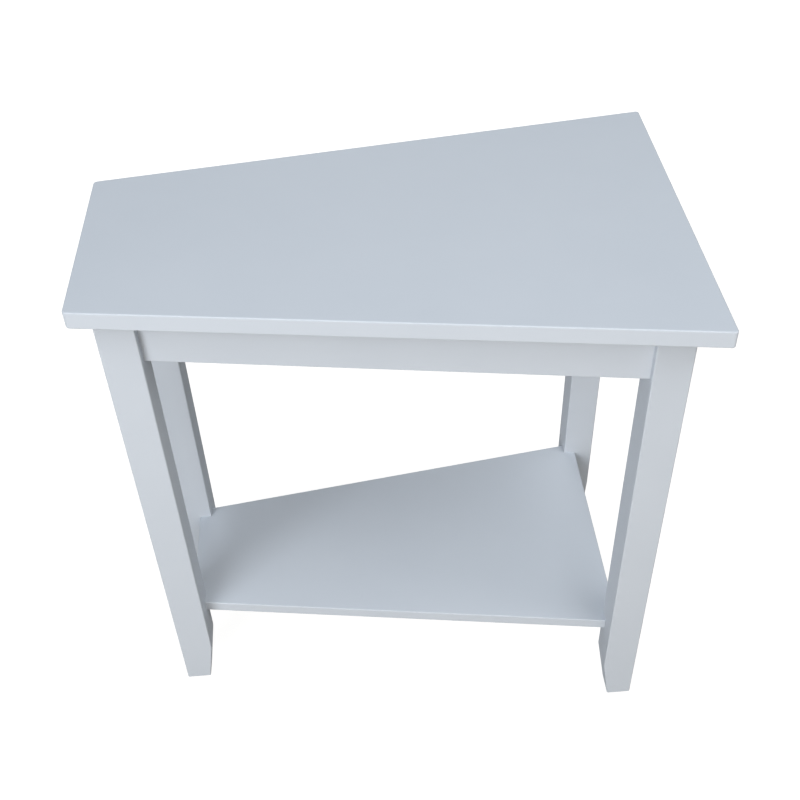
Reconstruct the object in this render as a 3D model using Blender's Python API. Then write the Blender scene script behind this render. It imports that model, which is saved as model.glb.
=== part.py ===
"""Wedge-shaped corner table with a lower shelf, modelled piece by piece.

Metres, +Z up. The table's long axis is X, with the narrow end at -X and the
wide end at +X. Its two long sides are slanted alike, one in front at -Y and
one behind at +Y. The origin is on the floor, midway along the table top.
"""

import math

import bmesh
import bpy
from mathutils import Vector

# Whole table
TABLE_HEIGHT = 0.610
SEAT_GAP = 0.0003

# Table top
TOP_LENGTH = 0.610
TOP_NARROW_WIDTH = 0.230
TOP_WIDE_WIDTH = 0.410
TOP_THICKNESS = 0.019
TOP_ARRIS_RADIUS = 0.002
TOP_CORNER_RADIUS = 0.004

# Legs, square to the table's ends. An end overhang is measured along the table, from the
# top's end to the legs' outer faces. A side overhang is measured across it, from the end's corner.
LEG_SIDE = 0.0385
LEG_ARRIS_RADIUS = 0.002
NARROW_END_OVERHANG = 0.0205
WIDE_END_OVERHANG = 0.0245
NARROW_SIDE_OVERHANG = 0.01225
WIDE_SIDE_OVERHANG = 0.029
FOOT_TAPER_HEIGHT = 0.0595
FOOT_TAPER_INSET = 0.0095
FOOT_ARRIS_RADIUS = 0.001

# Aprons; a recess is how far an apron's face lies behind the legs' outer faces
APRON_HEIGHT = 0.0625
APRON_THICKNESS = 0.018
APRON_NARROW_RECESS = 0.010
APRON_WIDE_RECESS = 0.0075
END_APRON_RECESS = 0.008
APRON_ARRIS_RADIUS = 0.001

# Lower shelf; a bite is how far it runs past the legs' inner faces, into their housings
SHELF_THICKNESS = 0.015
SHELF_TOP_HEIGHT = 0.126
SHELF_END_BITE = 0.015
SHELF_SIDE_BITE = 0.0155
SHELF_ARRIS_RADIUS = 0.0015

# Corner blocks, glued and screwed across the corners inside the aprons
BLOCK_HEIGHT = 0.040
BLOCK_THICKNESS = 0.020
BLOCK_LEG_CLEARANCE = 0.003
BLOCK_TIP_CHAMFER = 0.002

# Hanger bolts with their washers and nuts
BOLT_DIAMETER = 0.008
BOLT_LEG_DEPTH = 0.027
BOLT_POINT_LENGTH = 0.006
BOLT_PROJECTION = 0.005
BOLT_END_CHAMFER = 0.001
BOLT_HOLE_CLEARANCE = 0.0006
WASHER_DIAMETER = 0.018
WASHER_THICKNESS = 0.0016
NUT_ACROSS_FLATS = 0.013
NUT_THICKNESS = 0.0065
NUT_CHAMFER = 0.0008

# Wood screws; a length is measured under the head
SCREW_DIAMETER = 0.004
SCREW_POINT_LENGTH = 0.005
SCREW_HEAD_DIAMETER = 0.008
SCREW_HEAD_HEIGHT = 0.0028
SCREW_HEAD_EDGE = 0.001
SCREW_SLOT_WIDTH = 0.0012
SCREW_SLOT_LENGTH = 0.0045
SCREW_SLOT_DEPTH = 0.0016
SCREW_BORE_CLEARANCE = 0.0008
BLOCK_SCREW_LENGTH = 0.025
BLOCK_SCREW_SEAT = 0.011
BLOCK_SCREW_FACE_DEPTH = 0.016
TOP_SCREW_LENGTH = 0.038
TOP_SCREW_BITE = 0.0115
TOP_SCREW_OFFSET = 0.014
POCKET_SCREW_LENGTH = 0.025
POCKET_SEAT = 0.013
POCKET_ANGLE = math.radians(15)
POCKET_END_OFFSET = 0.110

# Nail-on glides under the feet
GLIDE_DIAMETER = 0.020
GLIDE_THICKNESS = 0.0025
GLIDE_EDGE_RADIUS = 0.0015
NAIL_DIAMETER = 0.0024
NAIL_LENGTH = 0.014
NAIL_POINT_LENGTH = 0.003

# Cutters run past what they cut by this much
OVERRUN = 0.020

# Facets of round pieces and of rounded arrises
ROUND_SIDES = 20
SMALL_ROUND_SIDES = 14
ARRIS_SEGMENTS = 3
CORNER_SEGMENTS = 4
SMOOTH_ANGLE = math.radians(35)

# Finishes: base colour, roughness, metallic
PAINT = ((0.60, 0.64, 0.69), 0.38, 0.0)
BARE_WOOD = ((0.62, 0.44, 0.27), 0.62, 0.0)
ZINC = ((0.56, 0.57, 0.58), 0.34, 1.0)
GLIDE_PLASTIC = ((0.72, 0.70, 0.66), 0.45, 0.0)

# Levels
TOP_UNDERSIDE = TABLE_HEIGHT - TOP_THICKNESS
FRAME_TOP = TOP_UNDERSIDE - SEAT_GAP
APRON_BOTTOM = TOP_UNDERSIDE - APRON_HEIGHT
FOOT_BOTTOM = GLIDE_THICKNESS + SEAT_GAP
SHELF_BOTTOM = SHELF_TOP_HEIGHT - SHELF_THICKNESS
BOLT_HEIGHT = FRAME_TOP - BLOCK_HEIGHT / 2

# The two ends and the two sides, with the direction in which each lies
END_SIGNS = {"narrow": -1, "wide": 1}
SIDE_SIGNS = {"front": -1, "back": 1}

# Distance of the legs' outer and inner faces from the table's middle, by end
LEG_OUTER_X = {
    "narrow": TOP_LENGTH / 2 - NARROW_END_OVERHANG,
    "wide": TOP_LENGTH / 2 - WIDE_END_OVERHANG,
}
LEG_OUTER_Y = {
    "narrow": TOP_NARROW_WIDTH / 2 - NARROW_SIDE_OVERHANG,
    "wide": TOP_WIDE_WIDTH / 2 - WIDE_SIDE_OVERHANG,
}
APRON_OUTER_Y = {
    "narrow": LEG_OUTER_Y["narrow"] - APRON_NARROW_RECESS,
    "wide": LEG_OUTER_Y["wide"] - APRON_WIDE_RECESS,
}


def clear_scene():
    """Remove every object of the open scene."""
    for leftover in list(bpy.data.objects):
        bpy.data.objects.remove(leftover, do_unlink=True)


def finish(node, look):
    """Give an object a material of its own with one of the named finishes."""
    colour, roughness, metallic = look
    material = bpy.data.materials.new(f"{node.name}_finish")
    material.use_nodes = True
    shader = material.node_tree.nodes["Principled BSDF"]
    shader.inputs["Base Color"].default_value = (*colour, 1.0)
    shader.inputs["Roughness"].default_value = roughness
    shader.inputs["Metallic"].default_value = metallic
    material.diffuse_color = (*colour, 1.0)
    node.data.materials.clear()
    node.data.materials.append(material)


def add_object(name, mesh, parent=None, look=None):
    """Link a mesh to the scene as a named object."""
    node = bpy.data.objects.new(name, mesh)
    bpy.context.scene.collection.objects.link(node)
    node.parent = parent
    if look:
        finish(node, look)
    return node


def to_mesh(name, bm):
    """Write a bmesh to a new mesh with its faces pointing out, and free it."""
    bmesh.ops.recalc_face_normals(bm, faces=bm.faces)
    mesh = bpy.data.meshes.new(name)
    bm.to_mesh(mesh)
    bm.free()
    return mesh


def smooth(mesh):
    """Shade round surfaces smooth and keep real edges sharp."""
    mesh.shade_smooth()
    mesh.set_sharp_from_angle(angle=SMOOTH_ANGLE)


def hide_cutter(cutter):
    """Mark an object as a tool that isn't part of the table."""
    cutter.hide_render = True
    cutter.display_type = "WIRE"
    return cutter


def carve(node, cutters, operation="DIFFERENCE"):
    """Cut an object with each of the cutters in turn."""
    for cutter in cutters:
        cut = node.modifiers.new(f"cut_{cutter.name}", "BOOLEAN")
        cut.operation = operation
        cut.solver = "EXACT"
        cut.object = cutter


def at_height(points, height):
    """Plan points lifted to one height."""
    return [Vector((point.x, point.y, height)) for point in points]


def new_prism(outline, low, high):
    """A bmesh prism that stands on a plan outline between two heights."""
    bm = bmesh.new()
    ring = [bm.verts.new(point) for point in at_height(outline, low)]
    base = bm.faces.new(ring)
    grown = bmesh.ops.extrude_face_region(bm, geom=[base])
    lifted = [part for part in grown["geom"] if isinstance(part, bmesh.types.BMVert)]
    bmesh.ops.translate(bm, verts=lifted, vec=Vector((0, 0, high - low)))
    bmesh.ops.recalc_face_normals(bm, faces=bm.faces)
    return bm


def is_upright(edge):
    """Whether an edge runs up a corner instead of along a level outline."""
    rise = edge.verts[0].co - edge.verts[1].co
    return abs(rise.z) > math.hypot(rise.x, rise.y)


def round_edges(bm, edges, radius, segments):
    """Round a set of edges to a radius."""
    bmesh.ops.bevel(
        bm,
        geom=edges,
        offset=radius,
        offset_type="OFFSET",
        affect="EDGES",
        segments=segments,
        profile=0.5,
        clamp_overlap=True,
        material=-1,
    )


def level_edges(bm, height):
    """The edges that lie at one height."""
    return [edge for edge in bm.edges if all(abs(vert.co.z - height) < SEAT_GAP for vert in edge.verts)]


def turned(name, profile, sides, is_ring=False):
    """A mesh turned about Z from a profile of (radius, height) points."""
    bm = bmesh.new()
    verts = [bm.verts.new((radius, 0, height)) for radius, height in profile]
    for first, second in zip(verts, verts[1:]):
        bm.edges.new((first, second))
    if is_ring:
        bm.edges.new((verts[-1], verts[0]))
    bmesh.ops.spin(
        bm,
        geom=bm.verts[:] + bm.edges[:],
        cent=(0, 0, 0),
        axis=(0, 0, 1),
        angle=math.tau,
        steps=sides,
        use_merge=True,
    )
    bmesh.ops.remove_doubles(bm, verts=bm.verts, dist=SEAT_GAP / sides)
    mesh = to_mesh(name, bm)
    smooth(mesh)
    return mesh


def aim(node, point, direction):
    """Place an object at a point with its own +Z along a direction."""
    node.location = point
    node.rotation_euler = Vector(direction).to_track_quat("Z", "Y").to_euler()
    return node


def crossing(point_a, along_a, point_b, along_b):
    """The plan point where two lines cross."""
    across_b = Vector((-along_b.y, along_b.x))
    reach = (point_b - point_a).dot(across_b) / along_a.dot(across_b)
    return point_a + along_a * reach


def in_space(plan, height):
    """A plan point or direction with a height."""
    return Vector((plan.x, plan.y, height))


class Corner:
    """One corner of the frame: where its leg stands and how its block lies."""

    def __init__(self, end, side):
        self.end = end
        self.side = side
        self.name = f"{end}_{side}"
        self.x_sign = END_SIGNS[end]
        self.y_sign = SIDE_SIGNS[side]
        self.outer = Vector((self.x_sign * LEG_OUTER_X[end], self.y_sign * LEG_OUTER_Y[end]))
        self.inner = self.outer - Vector((self.x_sign, self.y_sign)) * LEG_SIDE
        self.inward = Vector((-self.x_sign, -self.y_sign)).normalized()
        self.across = Vector((-self.inward.y, self.inward.x))
        self.block_far = self.inner + self.inward * (BLOCK_LEG_CLEARANCE + BLOCK_THICKNESS)

    def leg_square(self, inset):
        """Plan outline of the leg with its two inner faces drawn in."""
        side = LEG_SIDE - inset
        across = Vector((-self.x_sign * side, 0))
        deep = Vector((0, -self.y_sign * side))
        return [self.outer, self.outer + across, self.outer + across + deep, self.outer + deep]

    def foot_centre(self):
        """Plan point in the middle of the tapered foot."""
        half = (LEG_SIDE - FOOT_TAPER_INSET) / 2
        return self.outer - Vector((self.x_sign, self.y_sign)) * half


class ApronLine:
    """Plan lines of one apron: its outer face, and the way in from there."""

    def __init__(self, start, stop, towards):
        self.start = start
        self.stop = stop
        self.along = (stop - start).normalized()
        normal = Vector((-self.along.y, self.along.x))
        self.inward = normal if normal.dot(towards) > 0 else -normal

    def inner_point(self, depth=0.0):
        """A point on the inner face's line, or at a depth inside of it."""
        return self.start + self.inward * (APRON_THICKNESS + depth)

    def outline(self, cut_along, start_point, stop_point):
        """Plan outline between two cut lines that run the same way."""
        corners = []
        for face_point, cut_point in (
            (self.start, start_point),
            (self.start, stop_point),
            (self.inner_point(), stop_point),
            (self.inner_point(), start_point),
        ):
            corners.append(crossing(face_point, self.along, cut_point, cut_along))
        return corners


ALONG_X = Vector((1, 0))
ALONG_Y = Vector((0, 1))
CORNERS = {
    f"{end}_{side}": Corner(end, side) for end in END_SIGNS for side in SIDE_SIGNS
}


def long_apron_line(side):
    """Lines of the slanted apron along one side, from leg to leg."""
    sign = SIDE_SIGNS[side]
    ends = []
    for end in END_SIGNS:
        leg_face = CORNERS[f"{end}_{side}"].inner.x
        ends.append(Vector((leg_face, sign * APRON_OUTER_Y[end])))
    return ApronLine(ends[0], ends[1], -sign * ALONG_Y)


def end_apron_line(end):
    """Lines of the apron across one end, from leg to leg."""
    sign = END_SIGNS[end]
    face = sign * (LEG_OUTER_X[end] - END_APRON_RECESS)
    reach = CORNERS[f"{end}_back"].inner.y
    return ApronLine(Vector((face, -reach)), Vector((face, reach)), -sign * ALONG_X)


LONG_APRONS = {side: long_apron_line(side) for side in SIDE_SIGNS}
END_APRONS = {end: end_apron_line(end) for end in END_SIGNS}


def shelf_outline(grow=0.0):
    """Plan outline of the shelf, or of a shape that is larger all round."""
    end_x = {
        end: END_SIGNS[end] * (abs(CORNERS[f"{end}_back"].inner.x) + SHELF_END_BITE + grow)
        for end in END_SIGNS
    }
    sides = {}
    for side, sign in SIDE_SIGNS.items():
        narrow = CORNERS[f"narrow_{side}"].inner
        wide = CORNERS[f"wide_{side}"].inner
        along = (wide - narrow).normalized()
        outward = Vector((-along.y, along.x))
        outward = outward if outward.y * sign > 0 else -outward
        bite = Vector((0, sign * SHELF_SIDE_BITE))
        sides[side] = (narrow + bite + outward * grow, along)
    corners = []
    for end, side in (("narrow", "front"), ("wide", "front"), ("wide", "back"), ("narrow", "back")):
        point, along = sides[side]
        corners.append(crossing(point, along, Vector((end_x[end], 0)), ALONG_Y))
    return corners


def stepped_hole(name, seat, direction, length):
    """A cutter for a screw: its pilot below the seat and its head's bore above."""
    pilot = SCREW_DIAMETER / 2 + SEAT_GAP
    bore = SCREW_HEAD_DIAMETER / 2 + SCREW_BORE_CLEARANCE
    profile = [
        (0, -length),
        (pilot, -length),
        (pilot, 0),
        (bore, 0),
        (bore, length + OVERRUN),
        (0, length + OVERRUN),
    ]
    cutter = add_object(name, turned(name, profile, SMALL_ROUND_SIDES))
    return hide_cutter(aim(cutter, seat, direction))


def round_hole(name, diameter, start, stop):
    """A round cutter from one point to another."""
    run = stop - start
    profile = [(0, 0), (diameter / 2, 0), (diameter / 2, run.length), (0, run.length)]
    cutter = add_object(name, turned(name, profile, ROUND_SIDES))
    return hide_cutter(aim(cutter, start, run))


def slot_cutter(name, along_x):
    """A bar that sinks one arm of the cross into a screw's head."""
    bm = bmesh.new()
    bmesh.ops.create_cube(bm, size=1.0)
    arms = (SCREW_SLOT_LENGTH, SCREW_SLOT_WIDTH)
    width_x, width_y = arms if along_x else arms[::-1]
    bmesh.ops.scale(bm, verts=bm.verts, vec=(width_x, width_y, SCREW_SLOT_DEPTH * 2))
    bmesh.ops.translate(bm, verts=bm.verts, vec=(0, 0, SCREW_HEAD_HEIGHT))
    return hide_cutter(add_object(name, to_mesh(name, bm)))


def screw_mesh(name, length):
    """A pan-head wood screw, seated at its origin with its point down."""
    shank = SCREW_DIAMETER / 2
    head = SCREW_HEAD_DIAMETER / 2
    profile = [
        (0, -length),
        (shank, SCREW_POINT_LENGTH - length),
        (shank, 0),
        (head, 0),
        (head, SCREW_HEAD_HEIGHT - SCREW_HEAD_EDGE),
        (head - SCREW_HEAD_EDGE, SCREW_HEAD_HEIGHT),
        (0, SCREW_HEAD_HEIGHT),
    ]
    blank = add_object(f"{name}_blank", turned(f"{name}_blank", profile, SMALL_ROUND_SIDES))
    hide_cutter(blank)
    carve(blank, [slot_cutter(f"{name}_slot_x", True), slot_cutter(f"{name}_slot_y", False)])
    graph = bpy.context.evaluated_depsgraph_get()
    mesh = bpy.data.meshes.new_from_object(blank.evaluated_get(graph))
    mesh.name = name
    return mesh


def nut_mesh():
    """A hexagon nut with chamfered corners, seated at its origin."""
    corner = NUT_ACROSS_FLATS / math.sqrt(3)
    hexagon = [
        Vector((math.cos(turn * math.pi / 3), math.sin(turn * math.pi / 3))) * corner for turn in range(6)
    ]
    blank = add_object("nut_blank", to_mesh("nut_blank", new_prism(hexagon, 0.0, NUT_THICKNESS)))
    hide_cutter(blank)
    profile = [
        (0, 0),
        (corner - NUT_CHAMFER, 0),
        (corner, NUT_CHAMFER / 2),
        (corner, NUT_THICKNESS - NUT_CHAMFER / 2),
        (corner - NUT_CHAMFER, NUT_THICKNESS),
        (0, NUT_THICKNESS),
    ]
    chamfer = hide_cutter(add_object("nut_chamfer", turned("nut_chamfer", profile, ROUND_SIDES)))
    carve(blank, [chamfer], "INTERSECT")
    overrun = Vector((0, 0, OVERRUN))
    bore = round_hole("nut_bore", BOLT_DIAMETER + 2 * SEAT_GAP, -overrun, overrun)
    carve(blank, [bore])
    graph = bpy.context.evaluated_depsgraph_get()
    mesh = bpy.data.meshes.new_from_object(blank.evaluated_get(graph))
    mesh.name = "nut"
    return mesh


def washer_mesh():
    """A flat washer, seated at its origin."""
    inner = BOLT_DIAMETER / 2 + SEAT_GAP
    outer = WASHER_DIAMETER / 2
    profile = [(inner, 0), (outer, 0), (outer, WASHER_THICKNESS), (inner, WASHER_THICKNESS)]
    return turned("washer", profile, ROUND_SIDES, is_ring=True)


def bolt_reach():
    """How far the hanger bolt stands out of the leg's inner arris."""
    stack = BLOCK_LEG_CLEARANCE + BLOCK_THICKNESS + WASHER_THICKNESS + NUT_THICKNESS
    return stack + 2 * SEAT_GAP + BOLT_PROJECTION


def bolt_mesh():
    """A hanger bolt: wood thread below its origin, machine thread above."""
    radius = BOLT_DIAMETER / 2
    reach = bolt_reach()
    profile = [
        (0, -BOLT_LEG_DEPTH),
        (radius, BOLT_POINT_LENGTH - BOLT_LEG_DEPTH),
        (radius, reach - BOLT_END_CHAMFER),
        (radius - BOLT_END_CHAMFER, reach),
        (0, reach),
    ]
    return turned("hanger_bolt", profile, ROUND_SIDES)


def glide_mesh():
    """A nail-on glide that stands on its origin with its nail upright."""
    disc = GLIDE_DIAMETER / 2
    nail = NAIL_DIAMETER / 2
    profile = [(0, 0)]
    for step in range(ARRIS_SEGMENTS + 1):
        turn = math.pi / 2 * step / ARRIS_SEGMENTS
        reach = disc - GLIDE_EDGE_RADIUS * (1 - math.sin(turn))
        profile.append((reach, GLIDE_EDGE_RADIUS * (1 - math.cos(turn))))
    profile += [
        (disc, GLIDE_THICKNESS),
        (nail, GLIDE_THICKNESS),
        (nail, GLIDE_THICKNESS + NAIL_LENGTH - NAIL_POINT_LENGTH),
        (0, GLIDE_THICKNESS + NAIL_LENGTH),
    ]
    return turned("glide", profile, ROUND_SIDES)


def make_top(parent):
    """The wedge-shaped table top with rounded corners and arrises."""
    half = TOP_LENGTH / 2
    narrow = TOP_NARROW_WIDTH / 2
    wide = TOP_WIDE_WIDTH / 2
    outline = [Vector((-half, -narrow)), Vector((half, -wide)), Vector((half, wide)), Vector((-half, narrow))]
    bm = new_prism(outline, TOP_UNDERSIDE, TABLE_HEIGHT)
    uprights = [edge for edge in bm.edges if is_upright(edge)]
    round_edges(bm, uprights, TOP_CORNER_RADIUS, CORNER_SEGMENTS)
    arrises = level_edges(bm, TABLE_HEIGHT) + level_edges(bm, TOP_UNDERSIDE)
    round_edges(bm, arrises, TOP_ARRIS_RADIUS, ARRIS_SEGMENTS)
    return add_object("table_top", to_mesh("table_top", bm), parent, PAINT)


def make_shelf(parent):
    """The lower shelf, a smaller wedge whose corners lie in the legs' housings."""
    bm = new_prism(shelf_outline(), SHELF_BOTTOM, SHELF_TOP_HEIGHT)
    arrises = level_edges(bm, SHELF_TOP_HEIGHT) + level_edges(bm, SHELF_BOTTOM)
    round_edges(bm, arrises, SHELF_ARRIS_RADIUS, ARRIS_SEGMENTS)
    return add_object("lower_shelf", to_mesh("lower_shelf", bm), parent, PAINT)


def make_housing_cutter():
    """A slightly larger shelf, which cuts the housings into the legs."""
    bm = new_prism(shelf_outline(SEAT_GAP), SHELF_BOTTOM - SEAT_GAP, SHELF_TOP_HEIGHT + SEAT_GAP)
    return hide_cutter(add_object("housing_cutter", to_mesh("housing_cutter", bm)))


def make_leg(corner, parent, housing):
    """A square leg with a short taper on its two inner faces at the foot."""
    foot = at_height(corner.leg_square(FOOT_TAPER_INSET), FOOT_BOTTOM)
    knee = at_height(corner.leg_square(0.0), FOOT_BOTTOM + FOOT_TAPER_HEIGHT)
    head = at_height(corner.leg_square(0.0), FRAME_TOP)
    bm = bmesh.new()
    section = bm.faces.new([bm.verts.new(point) for point in foot])
    for level in (knee, head):
        grown = bmesh.ops.extrude_discrete_faces(bm, faces=[section])
        section = grown["faces"][0]
        for vert, point in zip(section.verts, level):
            vert.co = point
    bm.faces.new([vert for vert in reversed(bottom_ring(bm))])
    bmesh.ops.recalc_face_normals(bm, faces=bm.faces)
    uprights = [edge for edge in bm.edges if is_upright(edge)]
    round_edges(bm, uprights, LEG_ARRIS_RADIUS, ARRIS_SEGMENTS)
    round_edges(bm, level_edges(bm, FOOT_BOTTOM), FOOT_ARRIS_RADIUS, ARRIS_SEGMENTS - 1)
    name = f"leg_{corner.name}"
    leg = add_object(name, to_mesh(name, bm), parent, PAINT)
    inner = in_space(corner.inner, BOLT_HEIGHT)
    inward = in_space(corner.inward, 0)
    pilot = round_hole(
        f"{name}_pilot",
        BOLT_DIAMETER + 2 * SEAT_GAP,
        inner - inward * (BOLT_LEG_DEPTH + SEAT_GAP),
        inner + inward * OVERRUN,
    )
    centre = in_space(corner.foot_centre(), FOOT_BOTTOM)
    nail_hole = round_hole(
        f"{name}_nail_hole",
        NAIL_DIAMETER + 2 * SEAT_GAP,
        centre - Vector((0, 0, OVERRUN)),
        centre + Vector((0, 0, NAIL_LENGTH)),
    )
    carve(leg, [housing, pilot, nail_hole])
    return leg


def bottom_ring(bm):
    """The vertices of the lowest open outline, in order."""
    lowest = min(vert.co.z for vert in bm.verts)
    ring = [vert for vert in bm.verts if vert.co.z - lowest < SEAT_GAP]
    middle = sum((vert.co for vert in ring), Vector()) / len(ring)
    return sorted(ring, key=lambda vert: math.atan2(vert.co.y - middle.y, vert.co.x - middle.x))


def make_apron(name, outline, parent):
    """An apron board with its lower arrises eased."""
    bm = new_prism(outline, APRON_BOTTOM, FRAME_TOP)
    lower = [edge for edge in level_edges(bm, APRON_BOTTOM) if edge.calc_length() > APRON_THICKNESS * 2]
    round_edges(bm, lower, APRON_ARRIS_RADIUS, ARRIS_SEGMENTS)
    return add_object(name, to_mesh(name, bm), parent, PAINT)


def make_aprons(parent):
    """The two slanted long aprons and the two end aprons, butted to the legs."""
    aprons = {}
    for side, line in LONG_APRONS.items():
        gap = Vector((SEAT_GAP, 0))
        outline = line.outline(ALONG_Y, line.start + gap, line.stop - gap)
        aprons[side] = make_apron(f"apron_{side}", outline, parent)
    for end, line in END_APRONS.items():
        gap = Vector((0, SEAT_GAP))
        outline = line.outline(ALONG_X, line.start + gap, line.stop - gap)
        aprons[end] = make_apron(f"apron_{end}_end", outline, parent)
    return aprons


def make_block(corner, parent):
    """The corner block, square to the leg's diagonal between two aprons."""
    near = corner.inner + corner.inward * BLOCK_LEG_CLEARANCE
    outline = []
    for face, line in (
        (near, LONG_APRONS[corner.side]),
        (near, END_APRONS[corner.end]),
        (corner.block_far, END_APRONS[corner.end]),
        (corner.block_far, LONG_APRONS[corner.side]),
    ):
        outline.append(crossing(face, corner.across, line.inner_point(SEAT_GAP), line.along))
    bm = new_prism(outline, FRAME_TOP - BLOCK_HEIGHT, FRAME_TOP)
    uprights = [edge for edge in bm.edges if is_upright(edge)]
    round_edges(bm, uprights, BLOCK_TIP_CHAMFER, 1)
    name = f"corner_block_{corner.name}"
    return add_object(name, to_mesh(name, bm), parent, BARE_WOOD)


def place_screw(name, mesh, seat, direction, parent):
    """A screw whose head rests on a seat and points along a direction."""
    screw = add_object(name, mesh.copy(), parent, ZINC)
    return aim(screw, seat + direction * SEAT_GAP, direction)


def join_block_to_apron(corner, block, line, apron, suffix, mesh, parent):
    """One screw from the block's diagonal face, square into an apron."""
    face = crossing(
        line.inner_point(BLOCK_SCREW_FACE_DEPTH), line.along, corner.block_far, corner.across
    )
    seat = in_space(face - line.inward * (BLOCK_SCREW_FACE_DEPTH - BLOCK_SCREW_SEAT), BOLT_HEIGHT)
    direction = in_space(line.inward, 0)
    name = f"block_screw_{corner.name}_{suffix}"
    hole = stepped_hole(f"{name}_hole", seat, direction, BLOCK_SCREW_LENGTH)
    carve(block, [hole])
    carve(apron, [hole])
    place_screw(name, mesh, seat, direction, parent)


def join_block_to_top(corner, block, top, mesh, parent):
    """One screw up through the block into the table top, beside the bolt."""
    middle = corner.block_far - corner.inward * BLOCK_THICKNESS / 2
    side = corner.across if corner.across.x * corner.x_sign < 0 else -corner.across
    seat_height = TOP_UNDERSIDE + TOP_SCREW_BITE - TOP_SCREW_LENGTH
    seat = in_space(middle + side * TOP_SCREW_OFFSET, seat_height)
    down = Vector((0, 0, -1))
    name = f"top_screw_{corner.name}"
    hole = stepped_hole(f"{name}_hole", seat, down, TOP_SCREW_LENGTH)
    carve(block, [hole])
    carve(top, [hole])
    place_screw(name, mesh, seat, down, parent)


def fit_bolt(corner, block, meshes, parent):
    """The hanger bolt on the leg's diagonal, with its washer and nut."""
    inner = in_space(corner.inner, BOLT_HEIGHT)
    inward = in_space(corner.inward, 0)
    far = in_space(corner.block_far, BOLT_HEIGHT)
    overrun = inward * OVERRUN
    hole_diameter = BOLT_DIAMETER + 2 * BOLT_HOLE_CLEARANCE
    hole = round_hole(f"bolt_hole_{corner.name}", hole_diameter, inner - overrun, far + overrun)
    carve(block, [hole])
    washer_seat = far + inward * SEAT_GAP
    nut_seat = washer_seat + inward * (WASHER_THICKNESS + SEAT_GAP)
    for label, seat in (("hanger_bolt", inner), ("hanger_washer", washer_seat), ("hanger_nut", nut_seat)):
        piece = add_object(f"{label}_{corner.name}", meshes[label].copy(), parent, ZINC)
        aim(piece, seat, inward)


def fit_pocket_screw(side, end, apron, top, mesh, parent):
    """A screw up through a slanted pocket in a long apron, into the table top."""
    line = LONG_APRONS[side]
    start = line.start if end == "narrow" else line.stop
    towards_middle = line.along if end == "narrow" else -line.along
    plan = start + towards_middle * POCKET_END_OFFSET + line.inward * APRON_THICKNESS / 2
    out_of_pocket = in_space(line.inward * math.sin(POCKET_ANGLE), -math.cos(POCKET_ANGLE))
    seat = in_space(plan, TOP_UNDERSIDE) + out_of_pocket * POCKET_SEAT
    name = f"pocket_screw_{side}_{end}"
    hole = stepped_hole(f"{name}_hole", seat, out_of_pocket, POCKET_SCREW_LENGTH)
    carve(apron, [hole])
    carve(top, [hole])
    place_screw(name, mesh, seat, out_of_pocket, parent)


def build():
    """Make the whole table."""
    clear_scene()
    table = bpy.data.objects.new("corner_table", None)
    bpy.context.scene.collection.objects.link(table)
    top = make_top(table)
    make_shelf(table)
    aprons = make_aprons(table)
    housing = make_housing_cutter()
    fittings = {
        "hanger_bolt": bolt_mesh(),
        "hanger_washer": washer_mesh(),
        "hanger_nut": nut_mesh(),
    }
    block_screw = screw_mesh("block_screw", BLOCK_SCREW_LENGTH)
    top_screw = screw_mesh("top_screw", TOP_SCREW_LENGTH)
    pocket_screw = screw_mesh("pocket_screw", POCKET_SCREW_LENGTH)
    glide = glide_mesh()
    for corner in CORNERS.values():
        make_leg(corner, table, housing)
        block = make_block(corner, table)
        fit_bolt(corner, block, fittings, table)
        for line, apron, suffix in (
            (LONG_APRONS[corner.side], aprons[corner.side], "side"),
            (END_APRONS[corner.end], aprons[corner.end], "end"),
        ):
            join_block_to_apron(corner, block, line, apron, suffix, block_screw, table)
        join_block_to_top(corner, block, top, top_screw, table)
        foot = add_object(f"foot_glide_{corner.name}", glide.copy(), table, GLIDE_PLASTIC)
        foot.location = in_space(corner.foot_centre(), 0)
    for side in SIDE_SIGNS:
        for end in END_SIGNS:
            fit_pocket_screw(side, end, aprons[side], top, pocket_screw, table)


build()
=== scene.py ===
"""Looks of a wedge-shaped corner table with a lower shelf.

Metres, +Z up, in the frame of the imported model. The table's long axis is X,
with the narrow end at -X and the wide end at +X. The front long side is at -Y.
Every board wears one pale satin paint. Under the top are bare wooden corner
blocks and zinc-plated fasteners, and under the feet are nylon glides.
"""

import math

import bmesh
import bpy
from mathutils import Euler, Matrix, Vector


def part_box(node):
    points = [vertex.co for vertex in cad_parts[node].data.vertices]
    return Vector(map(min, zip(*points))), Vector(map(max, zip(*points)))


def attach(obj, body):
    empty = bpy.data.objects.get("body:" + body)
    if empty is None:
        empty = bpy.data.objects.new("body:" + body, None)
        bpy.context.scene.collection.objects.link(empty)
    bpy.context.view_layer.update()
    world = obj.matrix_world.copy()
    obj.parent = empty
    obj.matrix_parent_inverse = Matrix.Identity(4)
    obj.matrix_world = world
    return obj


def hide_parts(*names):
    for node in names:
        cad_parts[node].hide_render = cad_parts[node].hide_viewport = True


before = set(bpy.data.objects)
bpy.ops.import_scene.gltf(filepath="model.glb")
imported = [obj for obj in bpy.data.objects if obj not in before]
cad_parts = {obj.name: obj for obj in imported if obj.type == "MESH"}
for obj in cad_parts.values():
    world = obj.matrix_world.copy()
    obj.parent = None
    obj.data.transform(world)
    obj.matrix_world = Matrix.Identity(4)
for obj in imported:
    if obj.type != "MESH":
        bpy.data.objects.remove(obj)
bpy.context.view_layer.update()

# Painted boards meet with this much air, and the paint closes it to the eye
PAINT_SEAM = 0.00002

# Table top
TOP_LENGTH = 0.610
TOP_NARROW_WIDTH = 0.230
TOP_WIDE_WIDTH = 0.410
TOP_CORNER_RADIUS = 0.004
TOP_ARRIS_RADIUS = 0.0015

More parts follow.
